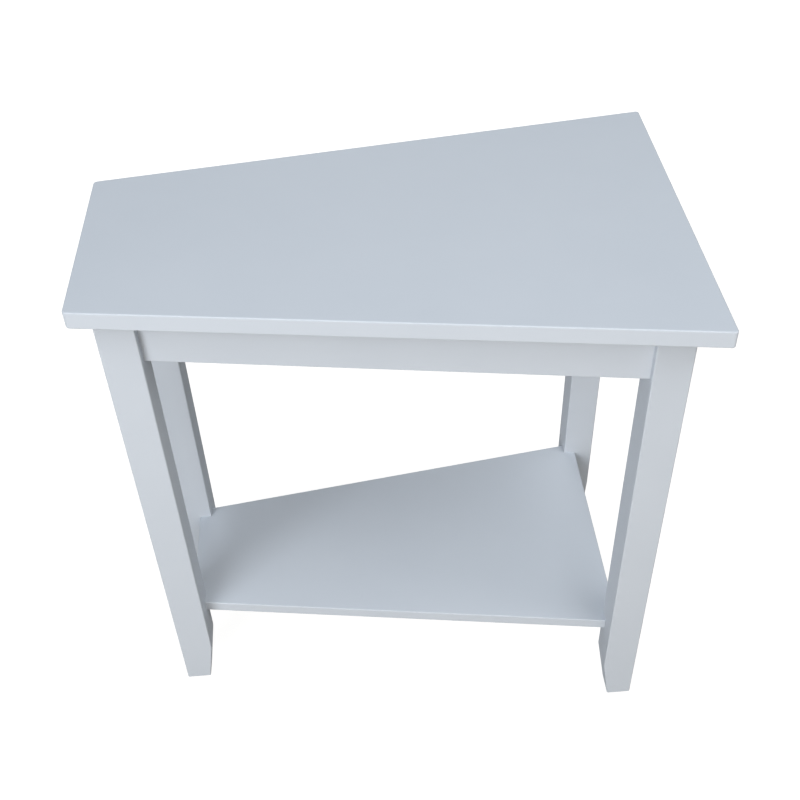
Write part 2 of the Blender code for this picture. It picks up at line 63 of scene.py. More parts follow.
# Legs
LEG_SIDE = 0.0385
LEG_ARRIS_RADIUS = 0.0015
FOOT_TAPER_HEIGHT = 0.0595
FOOT_TAPER_INSET = 0.0095

# Aprons; a recess is how far an apron's face lies behind the legs' outer faces
APRON_THICKNESS = 0.018
APRON_RECESS = {"narrow": 0.010, "wide": 0.0075}
END_APRON_RECESS = 0.008
APRON_ARRIS_RADIUS = 0.001

# An apron's edge that is longer than this runs along it
APRON_LONG_EDGE = APRON_THICKNESS * 2

# Lower shelf; a bite is how far it runs past the legs' inner faces
SHELF_END_BITE = 0.015
SHELF_SIDE_BITE = 0.0155
SHELF_ARRIS_RADIUS = 0.0015

# Corner blocks, glued and screwed across the corners inside the aprons
BLOCK_THICKNESS = 0.020
BLOCK_LEG_CLEARANCE = 0.003
BLOCK_TIP_CHAMFER = 0.002
BLOCK_ARRIS_CHAMFER = 0.0006
GLUE_LINE = 0.0003

# Hanger bolts with their washers and nuts
BOLT_RADIUS = 0.004
BOLT_PITCH = 0.00125
BOLT_THREAD_DEPTH = 0.00068
BOLT_LEG_DEPTH = 0.027
BOLT_POINT_LENGTH = 0.006
BOLT_POINT_RADIUS = 0.0004
BOLT_COLLAR = 0.0022
BOLT_PROJECTION = 0.005
BOLT_HOLE_RADIUS = 0.0046
WASHER_RADIUS = 0.009
WASHER_THICKNESS = 0.0016
WASHER_EDGE = 0.00025
NUT_SIDES = 6
NUT_ACROSS_FLATS = 0.013
NUT_THICKNESS = 0.0065
NUT_CHAMFER = 0.0008
NUT_BORE_GAP = 0.00004
NUT_SINK = 0.00045
STACK_GAP = 0.0003

# Wood screws; a length is measured under the head
SCREW_RADIUS = 0.002
SCREW_PITCH = 0.0018
SCREW_THREAD_DEPTH = 0.0006
SCREW_THREAD_RUNOUT = 0.0006
SCREW_POINT_LENGTH = 0.005
SCREW_TIP_SHARE = 0.08
SCREW_PLAIN_SHARE = 0.35
SCREW_HEAD_RADIUS = 0.004
SCREW_HEAD_HEIGHT = 0.0028
SCREW_HEAD_RIM = 0.0009
SCREW_SEAT_RADIUS = 0.00384
SCREW_SEAT_EDGE = 0.000225
SCREW_CROWN_RADIUS = 0.0019
CROSS_LENGTH = 0.0045
CROSS_WIDTH = 0.0011
CROSS_DEPTH = 0.0017
CROSS_TAPER = 0.62
SCREW_BORE_RADIUS = 0.0048
SCREW_PILOT_RADIUS = 0.0023
BLOCK_SCREW_LENGTH = 0.025
BLOCK_SCREW_SEAT = 0.011
BLOCK_SCREW_FACE_DEPTH = 0.016
TOP_SCREW_LENGTH = 0.038
TOP_SCREW_BITE = 0.0115
TOP_SCREW_OFFSET = 0.014
POCKET_SCREW_LENGTH = 0.025
POCKET_SEAT = 0.013
POCKET_ANGLE = math.radians(15)
POCKET_END_OFFSET = 0.110

# Nail-on glides under the feet
GLIDE_RADIUS = 0.010
GLIDE_THICKNESS = 0.0025
GLIDE_EDGE_RADIUS = 0.0015
GLIDE_RIM_CHAMFER = 0.00025
GLIDE_DIMPLE_RADIUS = 0.0009
GLIDE_DIMPLE_FLOOR_RADIUS = 0.00054
GLIDE_DIMPLE_DEPTH = 0.00025
NAIL_RADIUS = 0.0012
NAIL_LENGTH = 0.014
NAIL_POINT_LENGTH = 0.003

# Cutters run past what they cut by this much
OVERRUN = 0.020

# Facets of round pieces and of rounded arrises, and the angle past which an edge stays sharp
BORE_SIDES = 40
ROUND_SIDES = 56
THREAD_SIDES = 20
ARRIS_SEGMENTS = 6
CORNER_SEGMENTS = 8
SHARP_ANGLE = math.radians(38)

# Points within the first of these lie at one height, and points within the second become one
LEVEL_TOLERANCE = 0.00001
WELD = 0.000001

# Where a tooth starts, its crest starts, its crest stops and the tooth stops, along a thread's pitch
THREAD_TOOTH_SHARES = (0.28, 0.46, 0.54, 0.72)

# Turns of thread that start below its foot, and all turns past those that its length needs
THREAD_LEAD_TURNS = 2
THREAD_SPARE_TURNS = 3

# Camera: where it stands, how it turns in radians and what it takes in
CAMERA_POSITION = (-0.03102, -0.95880, 1.23757)
CAMERA_AZIMUTH = 0.06793
CAMERA_DIP = 0.75822
CAMERA_ROLL = -0.02025
IMAGE_WIDTH = 800
FOCAL_PIXELS = 1119.05
CENTRE_PIXEL = (422.51, 425.75)
SENSOR_WIDTH = 36.0

QUARTER = math.pi / 2
END_SIGNS = {"narrow": -1, "wide": 1}
SIDE_SIGNS = {"front": -1, "back": 1}
ALONG_X = Vector((1, 0))
ALONG_Y = Vector((0, 1))

TOP_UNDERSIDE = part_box("table_top")[0].z
TABLE_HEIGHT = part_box("table_top")[1].z
FRAME_TOP = TOP_UNDERSIDE - PAINT_SEAM
APRON_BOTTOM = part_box("apron_front")[0].z
SHELF_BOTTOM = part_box("lower_shelf")[0].z
SHELF_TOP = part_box("lower_shelf")[1].z
FOOT_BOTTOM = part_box("leg_narrow_front")[0].z
BLOCK_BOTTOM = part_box("corner_block_narrow_front")[0].z
BLOCK_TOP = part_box("corner_block_narrow_front")[1].z
BOLT_HEIGHT = (BLOCK_BOTTOM + BLOCK_TOP) / 2


def plan_corner(end, side):
    """The leg's outermost plan point at one corner of the frame."""
    low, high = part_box(f"leg_{end}_{side}")
    x = low.x if END_SIGNS[end] < 0 else high.x
    y = low.y if SIDE_SIGNS[side] < 0 else high.y
    return Vector((x, y))


OUTER = {(end, side): plan_corner(end, side) for end in END_SIGNS for side in SIDE_SIGNS}
INNER = {
    (end, side): OUTER[end, side] - Vector((END_SIGNS[end], SIDE_SIGNS[side])) * LEG_SIDE
    for end, side in OUTER
}


def crossing(point_a, along_a, point_b, along_b):
    """The plan point where two lines cross."""
    across_b = Vector((-along_b.y, along_b.x))
    reach = (point_b - point_a).dot(across_b) / along_a.dot(across_b)
    return point_a + along_a * reach


def in_space(plan, height):
    """A plan point or direction with a height."""
    return Vector((plan.x, plan.y, height))


def at_height(points, height):
    """Plan points lifted to one height."""
    return [in_space(point, height) for point in points]


def raise_face(bm, face, height):
    """Draw a level face up into a solid."""
    grown = bmesh.ops.extrude_face_region(bm, geom=[face])["geom"]
    lifted = [part for part in grown if isinstance(part, bmesh.types.BMVert)]
    bmesh.ops.translate(bm, verts=lifted, vec=Vector((0, 0, height)))


def prism(outline, low, high):
    """A bmesh prism that stands on a plan outline between two heights."""
    bm = bmesh.new()
    base = bm.faces.new([bm.verts.new(point) for point in at_height(outline, low)])
    raise_face(bm, base, high - low)
    bmesh.ops.recalc_face_normals(bm, faces=bm.faces)
    return bm


def upright_edges(bm):
    """The edges that run up the corners."""
    rises = [(edge, edge.verts[0].co - edge.verts[1].co) for edge in bm.edges]
    return [edge for edge, rise in rises if abs(rise.z) > rise.xy.length]


def level_edges(bm, *heights):
    """The edges that lie at each of some heights in turn."""
    return [
        edge
        for height in heights
        for edge in bm.edges
        if all(abs(vert.co.z - height) < LEVEL_TOLERANCE for vert in edge.verts)
    ]


def round_over(bm, edges, radius, segments=ARRIS_SEGMENTS):
    """Round edges to a radius."""
    bmesh.ops.bevel(
        bm,
        geom=edges,
        offset=radius,
        offset_type="OFFSET",
        affect="EDGES",
        segments=segments,
        profile=0.5,
        clamp_overlap=True,
        material=-1,
    )


def as_object(name, bm):
    """Write a bmesh to a new object that sits at the origin."""
    bmesh.ops.recalc_face_normals(bm, faces=bm.faces)
    mesh = bpy.data.meshes.new(name)
    bm.to_mesh(mesh)
    bm.free()
    piece = bpy.data.objects.new(name, mesh)
    bpy.context.scene.collection.objects.link(piece)
    return piece


def carve(piece, *cutters, operation="DIFFERENCE"):
    """Cut an object with others in turn, keep the result and remove the cutters."""
    for cutter in cutters:
        cut = piece.modifiers.new("cut", "BOOLEAN")
        cut.operation = operation
        cut.object = cutter
        cut.solver = "EXACT"
        graph = bpy.context.evaluated_depsgraph_get()
        carved = bpy.data.meshes.new_from_object(piece.evaluated_get(graph))
        piece.modifiers.clear()
        piece.data = carved
        bpy.data.objects.remove(cutter)
    bm = bmesh.new()
    bm.from_mesh(piece.data)
    bmesh.ops.remove_doubles(bm, verts=bm.verts, dist=WELD)
    bm.to_mesh(piece.data)
    bm.free()
    return piece


def dress(piece, material, slot, *nodes):
    """Finish a piece: its shading and its material. Hang it on the root body and hide the nodes that it
    stands for.
    """
    piece.data.shade_smooth()
    piece.data.set_sharp_from_angle(angle=SHARP_ANGLE)
    piece.data.materials.clear()
    piece.data.materials.append(material)
    even = piece.modifiers.new("even_shading", "WEIGHTED_NORMAL")
    even.keep_sharp = True
    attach(piece, "root")
    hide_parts(*nodes)


# Boards

def top_board():
    """The wedge-shaped top with rounded corners and arrises."""
    half = TOP_LENGTH / 2
    narrow = TOP_NARROW_WIDTH / 2
    wide = TOP_WIDE_WIDTH / 2
    corners = ((-half, -narrow), (half, -wide), (half, wide), (-half, narrow))
    bm = prism([Vector(corner) for corner in corners], TOP_UNDERSIDE, TABLE_HEIGHT)
    round_over(bm, upright_edges(bm), TOP_CORNER_RADIUS, CORNER_SEGMENTS)
    round_over(bm, level_edges(bm, TABLE_HEIGHT, TOP_UNDERSIDE), TOP_ARRIS_RADIUS)
    return as_object("top_board", bm)


def shelf_outline(grow):
    """Plan outline of the shelf, or of a shape that is larger all round."""
    corners = []
    for end, side in (("narrow", "front"), ("wide", "front"), ("wide", "back"), ("narrow", "back")):
        narrow = INNER["narrow", side]
        along = (INNER["wide", side] - narrow).normalized()
        outward = Vector((-along.y, along.x)) * SIDE_SIGNS[side]
        start = narrow + Vector((0, SIDE_SIGNS[side] * SHELF_SIDE_BITE)) + outward * grow
        end_x = INNER[end, side].x + END_SIGNS[end] * (SHELF_END_BITE + grow)
        corners.append(crossing(start, along, Vector((end_x, 0)), ALONG_Y))
    return corners


def shelf_shape(grow=0.0):
    """The shelf's rounded board, or one that is larger all round."""
    low, high = SHELF_BOTTOM - grow, SHELF_TOP + grow
    bm = prism(shelf_outline(grow), low, high)
    round_over(bm, level_edges(bm, high, low), SHELF_ARRIS_RADIUS)
    return bm


def leg_board(end, side):
    """A square leg, tapered on its two inner faces at the foot and housed for the shelf."""
    outer = OUTER[end, side]
    inward = Vector((-END_SIGNS[end], -SIDE_SIGNS[side]))
    sections = ((FOOT_TAPER_INSET, FOOT_BOTTOM), (0, FOOT_BOTTOM + FOOT_TAPER_HEIGHT), (0, FRAME_TOP))
    levels = []
    for inset, height in sections:
        wide = Vector((inward.x * (LEG_SIDE - inset), 0))
        deep = Vector((0, inward.y * (LEG_SIDE - inset)))
        levels.append(at_height([outer, outer + wide, outer + wide + deep, outer + deep], height))
    bm = bmesh.new()
    rings = [[bm.verts.new(point) for point in level] for level in levels]
    for ring in rings:
        for first, second in zip(ring, ring[1:] + ring[:1]):
            bm.edges.new((first, second))
    bmesh.ops.bridge_loops(bm, edges=bm.edges[:])
    bm.faces.new(rings[0])
    bm.faces.new(rings[-1])
    bmesh.ops.recalc_face_normals(bm, faces=bm.faces)
    round_over(bm, upright_edges(bm) + level_edges(bm, FOOT_BOTTOM), LEG_ARRIS_RADIUS)
    leg = as_object(f"leg_board_{end}_{side}", bm)
    return carve(leg, as_object("housing", shelf_shape(PAINT_SEAM)), *leg_bores(end, side))


def apron_line(which):
    """Start, stop, run and inward direction of the outer face of an apron, by its side or end."""
    if which in SIDE_SIGNS:
        sign = SIDE_SIGNS[which]
        start, stop = [
            Vector((INNER[end, which].x, OUTER[end, which].y - sign * APRON_RECESS[end]))
            for end in END_SIGNS
        ]
        towards = Vector((0, -sign))
    else:
        sign = END_SIGNS[which]
        face = OUTER[which, "back"].x - sign * END_APRON_RECESS
        start, stop = [Vector((face, INNER[which, side].y)) for side in SIDE_SIGNS]
        towards = Vector((-sign, 0))
    along = (stop - start).normalized()
    inward = Vector((-along.y, along.x))
    return start, stop, along, inward if inward.dot(towards) > 0 else -inward


APRONS = {which: apron_line(which) for which in (*SIDE_SIGNS, *END_SIGNS)}


def inside_of(which, depth=0.0):
    """A point on the line of an apron's inner face, or at a depth inside of it."""
    start, _, _, inward = APRONS[which]
    return start + inward * (APRON_THICKNESS + depth)


def apron_board(which):
    """An apron from leg to leg, with its two lower arrises eased."""
    start, stop, along, _ = APRONS[which]
    cut_along = ALONG_Y if which in SIDE_SIGNS else ALONG_X
    gap = Vector((cut_along.y, cut_along.x)) * PAINT_SEAM
    outline = [
        crossing(start, along, start + gap, cut_along),
        crossing(start, along, stop - gap, cut_along),
        crossing(inside_of(which), along, stop - gap, cut_along),
        crossing(inside_of(which), along, start + gap, cut_along),
    ]
    bm = prism(outline, APRON_BOTTOM, FRAME_TOP)
    lower = [edge for edge in level_edges(bm, APRON_BOTTOM) if edge.calc_length() > APRON_LONG_EDGE]
    round_over(bm, lower, APRON_ARRIS_RADIUS)
    return as_object(f"apron_board_{which}", bm)


# Corner joints

def inwards(end, side):
    """Plan direction from a leg's outer arris towards the table's inside."""
    return Vector((-END_SIGNS[end], -SIDE_SIGNS[side])).normalized()


def across(end, side):
    """Plan direction along a corner's block."""
    inward = inwards(end, side)
    return Vector((-inward.y, inward.x))


def block_face(end, side, depth):
    """A point on a corner's diagonal, at a depth into its block."""
    return INNER[end, side] + inwards(end, side) * (BLOCK_LEG_CLEARANCE + depth)


def block_board(end, side):
    """A block of bare wood across one corner, with its tips and arrises chamfered."""
    near = block_face(end, side, 0.0)
    far = block_face(end, side, BLOCK_THICKNESS)
    outline = []
    for face, which in ((near, side), (near, end), (far, end), (far, side)):
        along = APRONS[which][2]
        outline.append(crossing(face, across(end, side), inside_of(which, GLUE_LINE), along))
    bm = prism(outline, BLOCK_BOTTOM, BLOCK_TOP)
    round_over(bm, upright_edges(bm), BLOCK_TIP_CHAMFER, 1)
    round_over(bm, level_edges(bm, BLOCK_BOTTOM), BLOCK_ARRIS_CHAMFER, 1)
    return as_object(f"glue_block_{end}_{side}", bm)


def turned(profile, sides=ROUND_SIDES, closed=False):
    """A shape turned about Z from points of (radius, height)."""
    bm = bmesh.new()
    verts = [bm.verts.new((radius, 0, height)) for radius, height in profile]
    for pair in zip(verts, verts[1:]):
        bm.edges.new(pair)
    if closed:
        bm.edges.new((verts[-1], verts[0]))
    bmesh.ops.spin(
        bm,
        geom=bm.verts[:] + bm.edges[:],
        cent=(0, 0, 0),
        axis=(0, 0, 1),
        angle=math.tau,
        steps=sides,
        use_merge=True,
    )
    bmesh.ops.remove_doubles(bm, verts=bm.verts, dist=WELD)
    return bm


def set_on(bm, point, direction):
    """Turn a shape's +Z to a direction and set its origin on a point."""
    turn = Vector(direction).to_track_quat("Z", "Y").to_matrix().to_4x4()
    bmesh.ops.transform(bm, matrix=Matrix.Translation(point) @ turn, verts=bm.verts)
    return bm


def screw_bore(seat, direction, length):
    """A cutter for a screw: its pilot below the seat and its head's bore above."""
    profile = [
        (0, -length),
        (SCREW_PILOT_RADIUS, -length),
        (SCREW_PILOT_RADIUS, 0),
        (SCREW_BORE_RADIUS, 0),
        (SCREW_BORE_RADIUS, length + OVERRUN),
        (0, length + OVERRUN),
    ]
    return as_object("bore", set_on(turned(profile, BORE_SIDES), seat, direction))


def round_bore(radius, start, stop):
    """A round cutter from one point to another."""
    run = stop - start
    profile = [(0, 0), (radius, 0), (radius, run.length), (0, run.length)]
    return as_object("bore", set_on(turned(profile, BORE_SIDES), start, run))


def leg_bores(end, side):
    """The hole for a leg's hanger bolt and the one for its glide's nail."""
    inner = in_space(INNER[end, side], BOLT_HEIGHT)
    inward = in_space(inwards(end, side), 0)
    foot = in_space(foot_centre(end, side), 0)
    bolt_end = inner - inward * (BOLT_LEG_DEPTH + STACK_GAP)
    bolt_hole = round_bore(BOLT_RADIUS + STACK_GAP, bolt_end, inner + inward * OVERRUN)
    nail_hole = round_bore(
        NAIL_RADIUS + STACK_GAP, foot, foot + Vector((0, 0, FOOT_BOTTOM + NAIL_LENGTH))
    )
    return bolt_hole, nail_hole


def foot_centre(end, side):
    """Plan point in the middle of a tapered foot."""
    half = (LEG_SIDE - FOOT_TAPER_INSET) / 2
    return OUTER[end, side] - Vector((END_SIGNS[end], SIDE_SIGNS[side])) * half


def block_screw_seat(end, side, which):
    """Seat and direction of the screw from a block into one of its two aprons."""
    _, _, along, inward = APRONS[which]
    far = block_face(end, side, BLOCK_THICKNESS)
    face = crossing(inside_of(which, BLOCK_SCREW_FACE_DEPTH), along, far, across(end, side))
    seat = face - inward * (BLOCK_SCREW_FACE_DEPTH - BLOCK_SCREW_SEAT)
    return in_space(seat, BOLT_HEIGHT), in_space(inward, 0), BLOCK_SCREW_LENGTH


def top_screw_seat(end, side):
    """Seat and direction of the screw from a block up into the top."""
    middle = block_face(end, side, BLOCK_THICKNESS / 2)
    run = across(end, side)
    run = run if run.x * END_SIGNS[end] < 0 else -run
    height = TOP_UNDERSIDE + TOP_SCREW_BITE - TOP_SCREW_LENGTH
    return in_space(middle + run * TOP_SCREW_OFFSET, height), Vector((0, 0, -1)), TOP_SCREW_LENGTH


def pocket_screw_seat(side, end):
    """Seat and direction of a slanted screw from a long apron up into the top."""
    start, stop, along, inward = APRONS[side]
    point = start + along * POCKET_END_OFFSET if end == "narrow" else stop - along * POCKET_END_OFFSET
    out = in_space(inward * math.sin(POCKET_ANGLE), -math.cos(POCKET_ANGLE))
    seat = in_space(point + inward * APRON_THICKNESS / 2, TOP_UNDERSIDE) + out * POCKET_SEAT
    return seat, out, POCKET_SCREW_LENGTH


# Fasteners and glides

def thread(radius, depth, pitch, length):
    """A screw thread that runs up Z from the origin, square and open at both ends."""
    root = radius - depth
    foot, crest, crest_end, foot_end = THREAD_TOOTH_SHARES
    tooth = ((root, 0), (root, foot), (radius, crest), (radius, crest_end), (root, foot_end), (root, 1))
    turns = math.ceil(length / pitch) + THREAD_SPARE_TURNS
    bm = bmesh.new()
    verts = [bm.verts.new((reach, 0, (share - THREAD_LEAD_TURNS) * pitch)) for reach, share in tooth]
    for pair in zip(verts, verts[1:]):
        bm.edges.new(pair)
    bmesh.ops.spin(
        bm,
        geom=bm.verts[:] + bm.edges[:],
        cent=(0, 0, 0),
        axis=(0, 0, 1),
        dvec=(0, 0, pitch / THREAD_SIDES),
        angle=math.tau * turns,
        steps=THREAD_SIDES * turns,
    )
    bmesh.ops.remove_doubles(bm, verts=bm.verts, dist=WELD)
    for height, upwards in ((0, -1), (length, 1)):
        bmesh.ops.bisect_plane(
            bm,
            geom=bm.verts[:] + bm.edges[:] + bm.faces[:],
            plane_co=(0, 0, height),
            plane_no=(0, 0, upwards),
            clear_outer=True,
        )
    return bm


def rim(bm, height):
    """The open edges at one height."""
    return [edge for edge in level_edges(bm, height) if edge.is_boundary]


def grow_rim(bm, height, profile):
    """Carry an open rim on as a round wall through points of (radius, height), and close it."""
    edges = rim(bm, height)
    for radius, level in profile:
        grown = bmesh.ops.extrude_edge_only(bm, edges=edges)["geom"]
        verts = {part for part in grown if isinstance(part, bmesh.types.BMVert)}
        for vert in verts:
            vert.co = in_space(vert.co.xy.normalized() * radius, level)
        edges = [edge for edge in bm.edges if edge.verts[0] in verts and edge.verts[1] in verts]
    bmesh.ops.edgeloop_fill(bm, edges=edges)


def draw_point(bm):
    """Draw the foot of a screw's thread in to a point, and close it."""
    for vert in bm.verts:
        share = max(vert.co.z / SCREW_POINT_LENGTH, SCREW_TIP_SHARE)
        if share < 1:
            vert.co.x *= share
            vert.co.y *= share
    bmesh.ops.edgeloop_fill(bm, edges=rim(bm, 0))


def shift(bm, rise):
    """Lift a shape by a height."""
    bmesh.ops.translate(bm, verts=bm.verts, vec=Vector((0, 0, rise)))
    return bm


def quarter_arc(centre, radii, start):
    """Points of (radius, height) along a quarter of an ellipse, from a start in quarter turns."""
    points = []
    for step in range(ARRIS_SEGMENTS + 1):
        turn = (start + step / ARRIS_SEGMENTS) * QUARTER
        points.append((centre[0] + radii[0] * math.cos(turn), centre[1] + radii[1] * math.sin(turn)))
    return points


def cross_cutter():
    """The cutter for a cross recess, drawn in towards its bottom."""
    reach, half = CROSS_LENGTH / 2, CROSS_WIDTH / 2
    arm = (Vector((reach, -half)), Vector((reach, half)), Vector((half, half)))
    outline = [Matrix.Rotation(turn * QUARTER, 2) @ point for turn in range(4) for point in arm]
    bm = prism(outline, SCREW_HEAD_HEIGHT - CROSS_DEPTH, SCREW_HEAD_HEIGHT + CROSS_DEPTH)
    lower = [vert for vert in bm.verts if vert.co.z < SCREW_HEAD_HEIGHT]
    bmesh.ops.scale(bm, verts=lower, vec=(CROSS_TAPER, CROSS_TAPER, 1.0))
    return as_object("cross_cutter", bm)


def screw_mesh(length):
    """A pan-head wood screw with a cross recess, seated at its origin with its point down."""
    threaded = length * (1 - SCREW_PLAIN_SHARE)
    shank = SCREW_RADIUS - SCREW_THREAD_DEPTH / 2
    bm = thread(SCREW_RADIUS, SCREW_THREAD_DEPTH, SCREW_PITCH, threaded)
    draw_point(bm)
    crown = quarter_arc(
        (SCREW_HEAD_RADIUS - SCREW_CROWN_RADIUS, SCREW_HEAD_RIM),
        (SCREW_CROWN_RADIUS, SCREW_HEAD_HEIGHT - SCREW_HEAD_RIM),
        0,
    )
    head = [(shank, 0), (SCREW_SEAT_RADIUS, 0), (SCREW_HEAD_RADIUS, SCREW_SEAT_EDGE), *crown]
    profile = [(shank, threaded + SCREW_THREAD_RUNOUT)]
    profile += [(radius, length + level) for radius, level in head]
    grow_rim(bm, threaded, profile)
    screw = as_object("screw", shift(bm, -length))
    return keep_mesh(carve(screw, cross_cutter()))


def bolt_mesh():
    """A hanger bolt: a plain pointed shank in the leg, and a machine thread from there on."""
    stack = BLOCK_LEG_CLEARANCE + BLOCK_THICKNESS + WASHER_THICKNESS + NUT_THICKNESS
    threaded = stack + 2 * STACK_GAP + BOLT_PROJECTION - BOLT_COLLAR
    bm = thread(BOLT_RADIUS, BOLT_THREAD_DEPTH, BOLT_PITCH, threaded)
    for vert in bm.verts:
        room = BOLT_RADIUS - BOLT_THREAD_DEPTH + max(threaded - vert.co.z, 0.0)
        if vert.co.xy.length > room:
            vert.co = in_space(vert.co.xy.normalized() * room, vert.co.z)
    bmesh.ops.remove_doubles(bm, verts=bm.verts, dist=WELD)
    bmesh.ops.edgeloop_fill(bm, edges=rim(bm, threaded))
    shift(bm, BOLT_COLLAR)
    shank = (BOLT_RADIUS, 0)
    shoulder = (BOLT_RADIUS, BOLT_POINT_LENGTH - BOLT_LEG_DEPTH)
    grow_rim(bm, BOLT_COLLAR, [shank, shoulder, (BOLT_POINT_RADIUS, -BOLT_LEG_DEPTH)])
    return keep_mesh(as_object("bolt", bm))


def washer_mesh():
    """A flat washer with eased edges, seated at its origin."""
    inner = BOLT_RADIUS + STACK_GAP
    lower = [
        (inner, WASHER_EDGE),
        (inner + WASHER_EDGE, 0),
        (WASHER_RADIUS - WASHER_EDGE, 0),
        (WASHER_RADIUS, WASHER_EDGE),
    ]
    upper = [(radius, WASHER_THICKNESS - level) for radius, level in reversed(lower)]
    return keep_mesh(as_object("washer", turned(lower + upper, closed=True)))


def nut_mesh():
    """A hexagon nut with chamfered corners and a countersunk bore, seated at its origin."""
    corner = NUT_ACROSS_FLATS / math.sqrt(3)
    bm = bmesh.new()
    bmesh.ops.create_circle(bm, cap_ends=True, segments=NUT_SIDES, radius=corner)
    (hexagon,) = bm.faces
    raise_face(bm, hexagon, NUT_THICKNESS)
    nut = as_object("nut", bm)
    low, high = -NUT_CHAMFER / 2, NUT_THICKNESS + NUT_CHAMFER / 2
    waist = corner - 2 * NUT_CHAMFER
    drum = [
        (0, low),
        (waist, low),
        (corner, -low),
        (corner, NUT_THICKNESS + low),
        (waist, high),
        (0, high),
    ]
    carve(nut, as_object("drum", turned(drum)), operation="INTERSECT")
    bore = BOLT_RADIUS + NUT_BORE_GAP
    wide = bore + NUT_SINK
    cutter = [
        (0, -OVERRUN),
        (wide, -OVERRUN),
        (wide, 0),
        (bore, NUT_SINK),
        (bore, NUT_THICKNESS - NUT_SINK),
        (wide, NUT_THICKNESS),
        (wide, OVERRUN),
        (0, OVERRUN),
    ]
    carve(nut, as_object("bore", turned(cutter)))
    return keep_mesh(nut)


def glide_mesh():
    """A nail-on glide that stands on its origin, with a small moulding dimple underneath."""
    rounding = GLIDE_EDGE_RADIUS
    profile = [
        (0, GLIDE_DIMPLE_DEPTH),
        (GLIDE_DIMPLE_FLOOR_RADIUS, GLIDE_DIMPLE_DEPTH),
        (GLIDE_DIMPLE_RADIUS, 0),
        *quarter_arc((GLIDE_RADIUS - rounding, rounding), (rounding, rounding), -1),
        (GLIDE_RADIUS, GLIDE_THICKNESS - GLIDE_RIM_CHAMFER),
        (GLIDE_RADIUS - GLIDE_RIM_CHAMFER, GLIDE_THICKNESS),
        (NAIL_RADIUS, GLIDE_THICKNESS),
        (NAIL_RADIUS, GLIDE_THICKNESS + NAIL_LENGTH - NAIL_POINT_LENGTH),
        (0, GLIDE_THICKNESS + NAIL_LENGTH),
    ]
    return keep_mesh(as_object("glide", turned(profile)))


def keep_mesh(piece):
    """Take an object's mesh for later copies, and remove the object."""
    mesh = piece.data
    bpy.data.objects.remove(piece)
    return mesh


def copy_on(name, mesh, point, direction):
    """A copy of a fitting with its +Z along a direction and its origin on a point."""
    bm = bmesh.new()
    bm.from_mesh(mesh)
    return as_object(name, set_on(bm, point, direction))


# Materials

# Colours, each from its deeper to its lighter tone
PAINT_TONES = ((0.590, 0.626, 0.675, 1.0), (0.605, 0.640, 0.688, 1.0))
WOOD_TONES = ((0.50, 0.325, 0.175, 1.0), (0.68, 0.490, 0.305, 1.0))
WOOD_PORE = (0.30, 0.18, 0.09, 1.0)
ZINC_TONES = ((0.53, 0.555, 0.590, 1.0), (0.60, 0.590, 0.560, 1.0))
ZINC_FROST = (0.70, 0.710, 0.715, 1.0)
NYLON_TONES = ((0.68, 0.655, 0.605, 1.0), (0.75, 0.735, 0.700, 1.0))

# How fine each finish drifts, and the roughness that it drifts between
PAINT_DRIFT = {"Scale": 9.0, "Gloss Low": 0.56, "Gloss High": 0.62}
WOOD_DRIFT = {"Scale": 26.0, "Gloss Low": 0.56, "Gloss High": 0.68}
ZINC_DRIFT = {"Scale": 130.0, "Gloss Low": 0.27, "Gloss High": 0.42}
NYLON_DRIFT = {"Scale": 90.0, "Gloss Low": 0.40, "Gloss High": 0.52}

# How deep each finish's relief goes, and how strongly it shows
PAINT_RELIEF = 0.00004
WOOD_RELIEF = 0.00012
ZINC_RELIEF = 0.00001
NYLON_RELIEF = 0.00002
PAINT_RELIEF_STRENGTH = 0.35
RELIEF_STRENGTH = 0.4

# The span of a drift's noise that is spread over its whole range
DRIFT_SPAN = (0.3, 0.7)

# Paint: how much it shines, and how much the grain shows against the orange peel
PAINT_SPECULAR = 0.02
PAINT_GRAIN_WEIGHT = 0.35

# Bare wood: how much it shines, the weights of rings, fibres and drift in its tone, and their span
WOOD_SPECULAR = 0.35
WOOD_TONE_WEIGHTS = (-0.45, 0.75, 0.35)
WOOD_TONE_SPAN = (0.0, 0.75)

# Bare wood: how dark its pores are, where in the noise they lie, and the relief of fibres and pores
WOOD_PORE_SHARE = 0.6
WOOD_PORE_SPAN = (0.60, 0.70)
WOOD_RELIEF_WEIGHTS = (0.6, -0.8)

# Zinc: how much of the frost shows, and where in the noise it sparkles
ZINC_FROST_SHARE = 0.5
ZINC_FROST_SPAN = (0.52, 0.72)

# Socket numbers of a Mix node's colours, because its sockets for other kinds have the same names
MIX_DEEP = 6
MIX_LIGHT = 7
MIX_RESULT = 2


def add(tree, kind, links=None, **settings):
    """Add a node, set its properties, and set or link its inputs by name or number."""
    made = tree.nodes.new(kind)
    for key, value in settings.items():
        setattr(made, key, value)
    for key, value in (links or {}).items():
        if isinstance(value, bpy.types.NodeSocket):
            tree.links.new(value, made.inputs[key])
        else:
            made.inputs[key].default_value = value
    return made


def noise(tree, vector, scale, detail):
    """The value of a noise texture."""
    links = {"Vector": vector, "Scale": scale, "Detail": detail}
    return add(tree, "ShaderNodeTexNoise", links).outputs["Fac"]


def stretched_noise(tree, vector, along, scale, detail):
    """Noise drawn out along X, as grain is."""
    drawn = add(tree, "ShaderNodeMapping", {"Vector": vector, "Scale": (along, 1.0, 1.0)})
    return noise(tree, drawn.outputs[0], scale, detail)


def spread(tree, value, span, low=0.0, high=1.0):
    """A value carried over from a span to the range between two others."""
    links = {"Value": value, "From Min": span[0], "From Max": span[1], "To Min": low, "To Max": high}
    return add(tree, "ShaderNodeMapRange", links).outputs["Result"]


